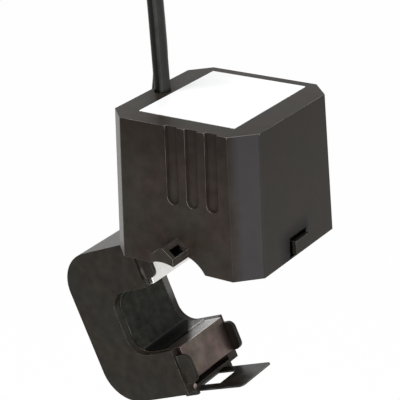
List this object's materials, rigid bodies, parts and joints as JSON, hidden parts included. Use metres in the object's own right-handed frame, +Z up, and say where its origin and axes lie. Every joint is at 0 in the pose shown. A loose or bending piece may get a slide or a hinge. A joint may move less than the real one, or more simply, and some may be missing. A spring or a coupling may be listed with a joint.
{
  "type": "split-core current transformer",
  "caption": "Split-core current transformer: a block-shaped housing whose C-shaped jaw hangs open on a hinge pin, with a sprung latch plate, a bare label and a thin two-core lead.",
  "frame": {"origin": "on the axis of the conductor's seat, halfway between the housing's front and back", "axes": "+X from the hinge to the latch, -Y out of the grooved front face along the conductor, +Z up through the housing's roof"},
  "size_m": [0.1077, 0.0963, 0.179],
  "materials": {
    "housing_plastic": "moulded, fine satin grain",
    "jaw_plastic": "moulded, fine satin grain",
    "liner": "matt",
    "label": "matt white film",
    "core": "ground pole faces",
    "steel": "plain",
    "copper": "enamelled wire",
    "tape": "amber film",
    "bobbin": "natural nylon",
    "board": "lacquered board",
    "resistor": "lacquered",
    "jacket": "satin black jacket",
    "clamp": "nylon",
    "wire_black": "satin",
    "wire_white": "satin",
    "tin": "tinned copper"
  },
  "bodies": {
    "housing": {"housing_shell": "housing_plastic", "base_plate": "housing_plastic", "label": "label", "upper_core": "core", "bobbin": "bobbin", "winding": "copper", "winding_tape": "tape", "terminal_board": "board", "burden_resistor": "resistor", "inner_wire_black": "wire_black", "inner_wire_white": "wire_white", "cord_clamp": "clamp", "hinge_pin": "steel", "cord": "jacket", "cord_hank": "jacket", "hank_tie": "clamp", "cord_tail": "jacket", "wire_black": "wire_black", "wire_white": "wire_white", "tip_black": "tin", "tip_white": "tin"},
    "jaw": {"jaw_shell": "jaw_plastic", "window_liner": "liner", "jaw_core": "core", "leaf_spring": "steel"},
    "latch": {"latch_plate": "jaw_plastic"}
  },
  "joints": [
    {"name": "jaw_hinge", "type": "hinge", "parent": "housing", "child": "jaw", "pos_m": [-0.0278, 0, 0.0056], "axis": [0, 1, 0], "range_deg": [-67.5, 42.5]},
    {"name": "latch_flex", "type": "hinge", "parent": "jaw", "child": "latch", "pos_m": [-0.01165, 0, -0.04634], "axis": [0, 1, 0], "range_deg": [0, 4], "stiffness_Nm_per_rad": 0.05}
  ]
}
